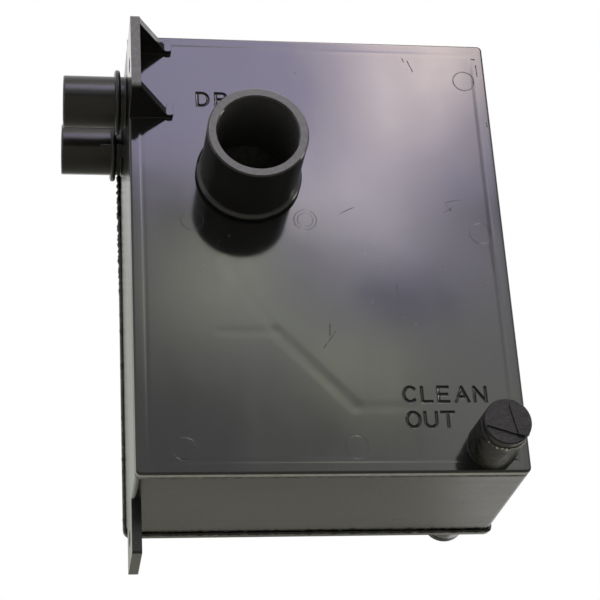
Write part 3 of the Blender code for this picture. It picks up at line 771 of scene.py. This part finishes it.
def make_camera():
    camera = bpy.data.cameras.new("camera")
    camera.lens = CAMERA_LENS
    camera.sensor_width = SENSOR_WIDTH
    camera.clip_start = 0.01
    camera.clip_end = 30
    holder = bpy.data.objects.new("camera", camera)
    holder.location = CAMERA_PLACE
    holder.rotation_euler = [math.radians(angle) for angle in CAMERA_TURN]
    bpy.context.scene.collection.objects.link(holder)
    bpy.context.scene.camera = holder


# Soft windows of light as the part sees them, in degrees. The bearing is 0 straight in front of
# the lettered face. Each has a left and right edge with their softness, a lower and upper edge
# with theirs, how far these fall for each degree to the right, and its colour, which is added to
# the surround. The patches of less than nothing darken it.
WINDOWS = [
    ((0.1, 17.9, 0.8), (28.7, 52.1, 0.6), 0.12, (3.87, 3.51, 5.38)),
    ((12.8, 20.4, 2.6), (27.4, 62.3, 1.7), -0.64, (14.00, 11.83, 9.73)),
    ((8.9, 15.0, 3.5), (27.0, 29.6, 0.9), 0.34, (8.55, 7.88, 8.66)),
    ((6.4, 12.8, 0.5), (24.2, 23.9, 2.4), 0.82, (11.67, 12.46, 7.14)),
    ((3.8, 15.7, 4.0), (23.6, 26.3, 2.7), 0.22, (4.14, 4.14, 3.57)),
    ((7.9, 15.5, 1.3), (23.7, 26.9, 1.3), -0.10, (-2.44, -2.38, -1.39)),
    ((14.0, 19.5, 1.0), (18.0, 21.9, 0.5), 0.0, (1.15, 1.15, 1.05)),
    ((9.0, 16.0, 1.5), (17.5, 19.8, 0.2), 0.07, (0.90, 0.90, 0.88)),
    ((13.8, 17.6, 0.8), (32.2, 38.0, 0.5), 0.0, (-3.2, -3.2, -3.1)),
    ((15.8, 19.0, 0.5), (21.9, 27.0, 0.8), 0.0, (0.75, 0.75, 0.95)),
    ((-177.4, -150.0, 0.8), (0.0, 27.5, 3.0), 0.0, (-0.30, -0.28, -0.35)),
    ((64.0, 96.0, 5.0), (-26.0, 4.0, 5.0), 0.0, (4.4, 4.2, 3.8)),
    ((-45.0, 45.0, 15.0), (-55.0, 8.0, 8.0), 0.0, (-0.72, -0.72, -0.72)),
]
WINDOW_MIDDLE = 10.0
SURROUND = (1.0, 1.0, 1.0)


def make_light():
    """A white surround with a few soft windows, most of them in front of the lettered face."""
    world = bpy.data.worlds.new("studio")
    n = Nodes(world, "Generated")
    way = n.add("ShaderNodeSeparateXYZ")
    n.set(way.inputs[0], n.place)
    forward = n.math("MULTIPLY", way.outputs["Y"], -1.0)
    bearing = n.math("DEGREES", n.math("ARCTAN2", way.outputs["X"], forward))
    rise = n.math("DEGREES", n.math("ARCSINE", way.outputs["Z"]))
    sideways = n.math("SUBTRACT", bearing, WINDOW_MIDDLE)
    light = SURROUND
    for (left, right, side_soft), (low, high, end_soft), fall, colour in WINDOWS:
        level = n.math("ADD", rise, n.math("MULTIPLY", sideways, fall))
        share = n.between(bearing, left, right, side_soft)
        share = n.math("MULTIPLY", share, n.between(level, low, high, end_soft))
        part = n.add("ShaderNodeVectorMath", operation="SCALE")
        part.inputs[0].default_value = colour
        n.set(part.inputs["Scale"], share)
        light = n.vector("ADD", part.outputs[0], light).outputs[0]
    background = n.add("ShaderNodeBackground")
    n.set(background.inputs["Color"], light)
    output = n.add("ShaderNodeOutputWorld")
    n.set(output.inputs["Surface"], background.outputs[0])
    bpy.context.scene.world = world
    bpy.context.scene.view_settings.view_transform = "Standard"
    bpy.context.scene.view_settings.look = "None"


def make_low_light():
    """A soft light low behind the part, which brightens the underside towards the far wall."""
    light = bpy.data.lights.new("low_light", "AREA")
    light.shape = "RECTANGLE"
    light.size = 0.40
    light.size_y = 0.46
    light.energy = 0.42
    holder = bpy.data.objects.new("low_light", light)
    holder.location = (0.56, 1.05, -0.37)
    holder.rotation_euler = (math.radians(-90), 0, 0)
    holder.visible_camera = False
    bpy.context.scene.collection.objects.link(holder)


def make_floor():
    """The pale floor, well below the part, as it hangs on its mounting wall."""
    bm = bmesh.new()
    bmesh.ops.create_grid(bm, x_segments=8, y_segments=8, size=6.0)
    floor = from_bmesh("floor", bm)
    floor.location = (0, 0, -0.62)
    floor.data.materials.append(backdrop("pale_floor", (0.38, 0.38, 0.32)))


def build():
    body_plastic = black_plastic(
        "body_black", (0.0062, 0.0062, 0.0055), 0.20, 0.10 * MM, 0.0010 * MM, 0.08, ior=1.42
    )
    cover_plastic = black_plastic(
        "cover_black", (0.0068, 0.0068, 0.0069), 0.085, 0.03 * MM, 0.0003 * MM, 0.06,
        face_marks=True,
    )
    plug_plastic = rough_plastic("plug_black", (0.002,) * 3, (0.013,) * 3, 0.130 * MM, 1.37)
    boss_plastic = rough_plastic(
        "boss_black", (0.002,) * 3, (0.024, 0.024, 0.021), 0.150 * MM, 1.38
    )
    # The faces inside the box are painted pale grey: painted light, standing in for the light that falls on the
    # floor seen down the drain's bore.
    inside = rough_plastic(
        "inside_painted_light", (0.22, 0.22, 0.21), (0.34, 0.34, 0.33), 0.020 * MM, 1.40
    )
    bore = rough_plastic("bore_black", (0.045,) * 3, (0.060,) * 3, 0.020 * MM, 1.40)
    trimmed = trimmed_plastic("trimmed_black", (0.070, 0.070, 0.074), 0.46)
    pale = trimmed_plastic("torn_black", (0.32, 0.32, 0.29), 0.7)
    make_front_cover(cover_plastic, trimmed, boss_plastic, inside, bore)
    walls = [body_plastic, inside]
    dressed("trap_body", "trap_body_moulding", "housing", walls, inside_box)
    dressed("rear_cover", "rear_cover_moulding", "housing", walls, inside_box)
    ring_rubber = rubber("seal_rubber_black")
    for end in ("front", "rear"):
        dressed(
            f"{end}_cleanout_plug", f"{end}_plug_moulding", f"{end}_plug",
            [plug_plastic],
        )
    for end in ("front", "rear"):
        dressed(
            f"{end}_cleanout_seal", f"{end}_seal_ring", f"{end}_seal", [ring_rubber]
        )
    make_rear_flash(body_plastic)
    make_front_seam(body_plastic)
    make_rim_crumbs(pale)
    make_thread("front_plug_thread", FRONT_PLUG_AXIS, -1, 6.4 * MM, "front_plug", plug_plastic)
    make_thread("rear_plug_thread", REAR_PLUG_AXIS, 1, 2.2 * MM, "rear_plug", plug_plastic)
    make_camera()
    make_light()
    make_low_light()
    make_floor()


build()
